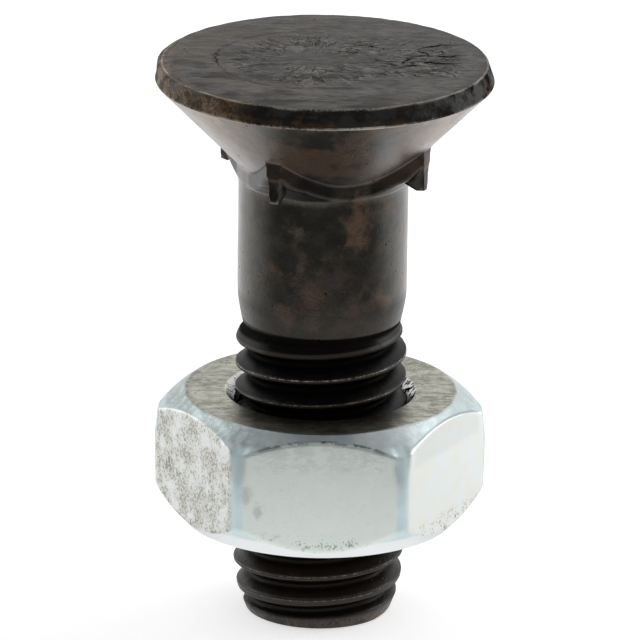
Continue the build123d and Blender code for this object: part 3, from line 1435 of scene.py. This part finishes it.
@dataclass
class Studio:
    """Camera, pale floor, lamps and white surroundings.

    Lengths are in metres, apart from the spans on the floor, which are in millimetres. The gleams
    are how bright each part of the floor looks in the metal.
    """

    target: tuple[float, float, float] = (-0.000086, 0.0, 0.017447)
    distance: float = 0.5
    elevation: float = math.radians(18.7)
    roll: float = math.radians(0.8)
    lens: float = 487.4
    floor_size: float = 3.0
    floor: float = -0.00001
    floor_glow: float = 0.5
    far_gleam: float = 0.135
    near_gleam: float = 0.86
    near_span: Span = (52.0, 42.0)
    back_gleam: float = 1.0
    back_span: Span = (-42.0, 24.0)
    under_gleam: float = 1.0
    under_span: Span = (11.0, 8.0)
    front_fill: float = 0.35
    back_fill: float = 1.0
    fill_span: Span = (-0.1, 0.6)
    overhead_share: float = 0.85
    overhead_span: Span = (0.5, 0.9)
    lamps: tuple[Softbox, ...] = (
        Softbox("left_softbox", (-0.4, 0.15, 0.2), 0.3, 0.4, 0.5),
        Softbox("right_softbox", (0.4, 0.1, 0.2), 0.3, 0.4, 0.8),
    )

    def build(self) -> None:
        """Sets up the whole studio."""
        self._camera()
        self._floor()
        self._world()
        for lamp in self.lamps:
            lamp.hang(Vector(self.target))
        bpy.context.scene.view_settings.view_transform = "Standard"

    def _camera(self) -> None:
        """Places the camera in front, a little above, and slightly rolled."""
        sin, cos = math.sin(self.elevation), math.cos(self.elevation)
        forward, right, up = Vector((0, cos, -sin)), Vector((1, 0, 0)), Vector((0, sin, cos))
        across = right * math.cos(self.roll) + up * math.sin(self.roll)
        above = up * math.cos(self.roll) - right * math.sin(self.roll)
        data = bpy.data.cameras.new("camera")
        data.lens, data.sensor_width, data.clip_start, data.clip_end = self.lens, 36.0, 0.01, 20.0
        camera = bpy.data.objects.new("camera", data)
        bpy.context.scene.collection.objects.link(camera)
        stand = Matrix.Translation(Vector(self.target) - forward * self.distance)
        camera.matrix_world = stand @ Matrix((across, above, -forward)).transposed().to_4x4()
        bpy.context.scene.camera = camera

    def _floor(self) -> None:
        """Lays a pale floor that takes the shadow, looks white in full light and glows unevenly in metal.
        """
        half = self.floor_size / 2
        corners = [(x * half, y * half, self.floor) for x, y in ((-1, -1), (1, -1), (1, 1), (-1, 1))]
        mesh = bpy.data.meshes.new("floor")
        mesh.from_pydata(corners, [], [(0, 1, 2, 3)])
        floor = bpy.data.objects.new("floor", mesh)
        bpy.context.scene.collection.objects.link(floor)
        coat = Coating("pale_floor")
        at = coat.place
        # painted reflections: to glossy rays the floor is black and glows, most behind the pieces and under
        # the nut
        gleam = self.far_gleam + (self.near_gleam - self.far_gleam) * at.radius.rise(*self.near_span)
        gleam = gleam.above(at.y.rise(*self.back_span) * self.back_gleam)
        gleam = gleam.above(at.radius.rise(*self.under_span) * self.under_gleam)
        camera = coat.node("ShaderNodeLightPath", None, None, "Is Camera Ray")
        glossy = coat.node("ShaderNodeLightPath", None, None, "Is Glossy Ray")
        seen = camera * self.floor_glow + glossy * gleam
        coat.set(
            base_color=coat.mix(glossy, paint(240, 240, 240), paint(0, 0, 0)),
            roughness=0.9,
            specular_ior_level=0.0,
            emission_color=coat.vector(seen, seen, seen),
            emission_strength=1.0,
        )
        mesh.materials.append(coat.material)

    def _world(self) -> None:
        """White surroundings to the camera and through clear matter, and a soft fill for the rest."""
        world = bpy.data.worlds.new("surroundings")
        bpy.context.scene.world = world
        world.use_nodes = True
        graph = Graph(world.node_tree)
        way = Place.of(graph, graph.node("ShaderNodeTexCoord", None, None, "Generated"))
        around = self.front_fill + (self.back_fill - self.front_fill) * way.y.rise(*self.fill_span)
        around = around * (1 - (1 - self.overhead_share) * way.z.rise(*self.overhead_span))
        seen = graph.node("ShaderNodeLightPath", None, None, "Is Camera Ray")
        seen = seen.above(graph.node("ShaderNodeLightPath", None, None, "Is Transmission Ray"))
        background = world.node_tree.nodes["Background"]
        graph.feed(background.inputs["Color"], (1.0, 1.0, 1.0, 1.0))
        graph.feed(background.inputs["Strength"], seen + (1 - seen) * around)


def main() -> None:
    """Builds the studio, the bolt and the nut."""
    logging.basicConfig(level=logging.INFO, format="%(name)s: %(message)s")
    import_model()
    Studio().build()
    for maker in (Bolt.from_frame(), Nut.from_frame()):
        piece = maker.build()


if __name__ == "__main__":
    main()
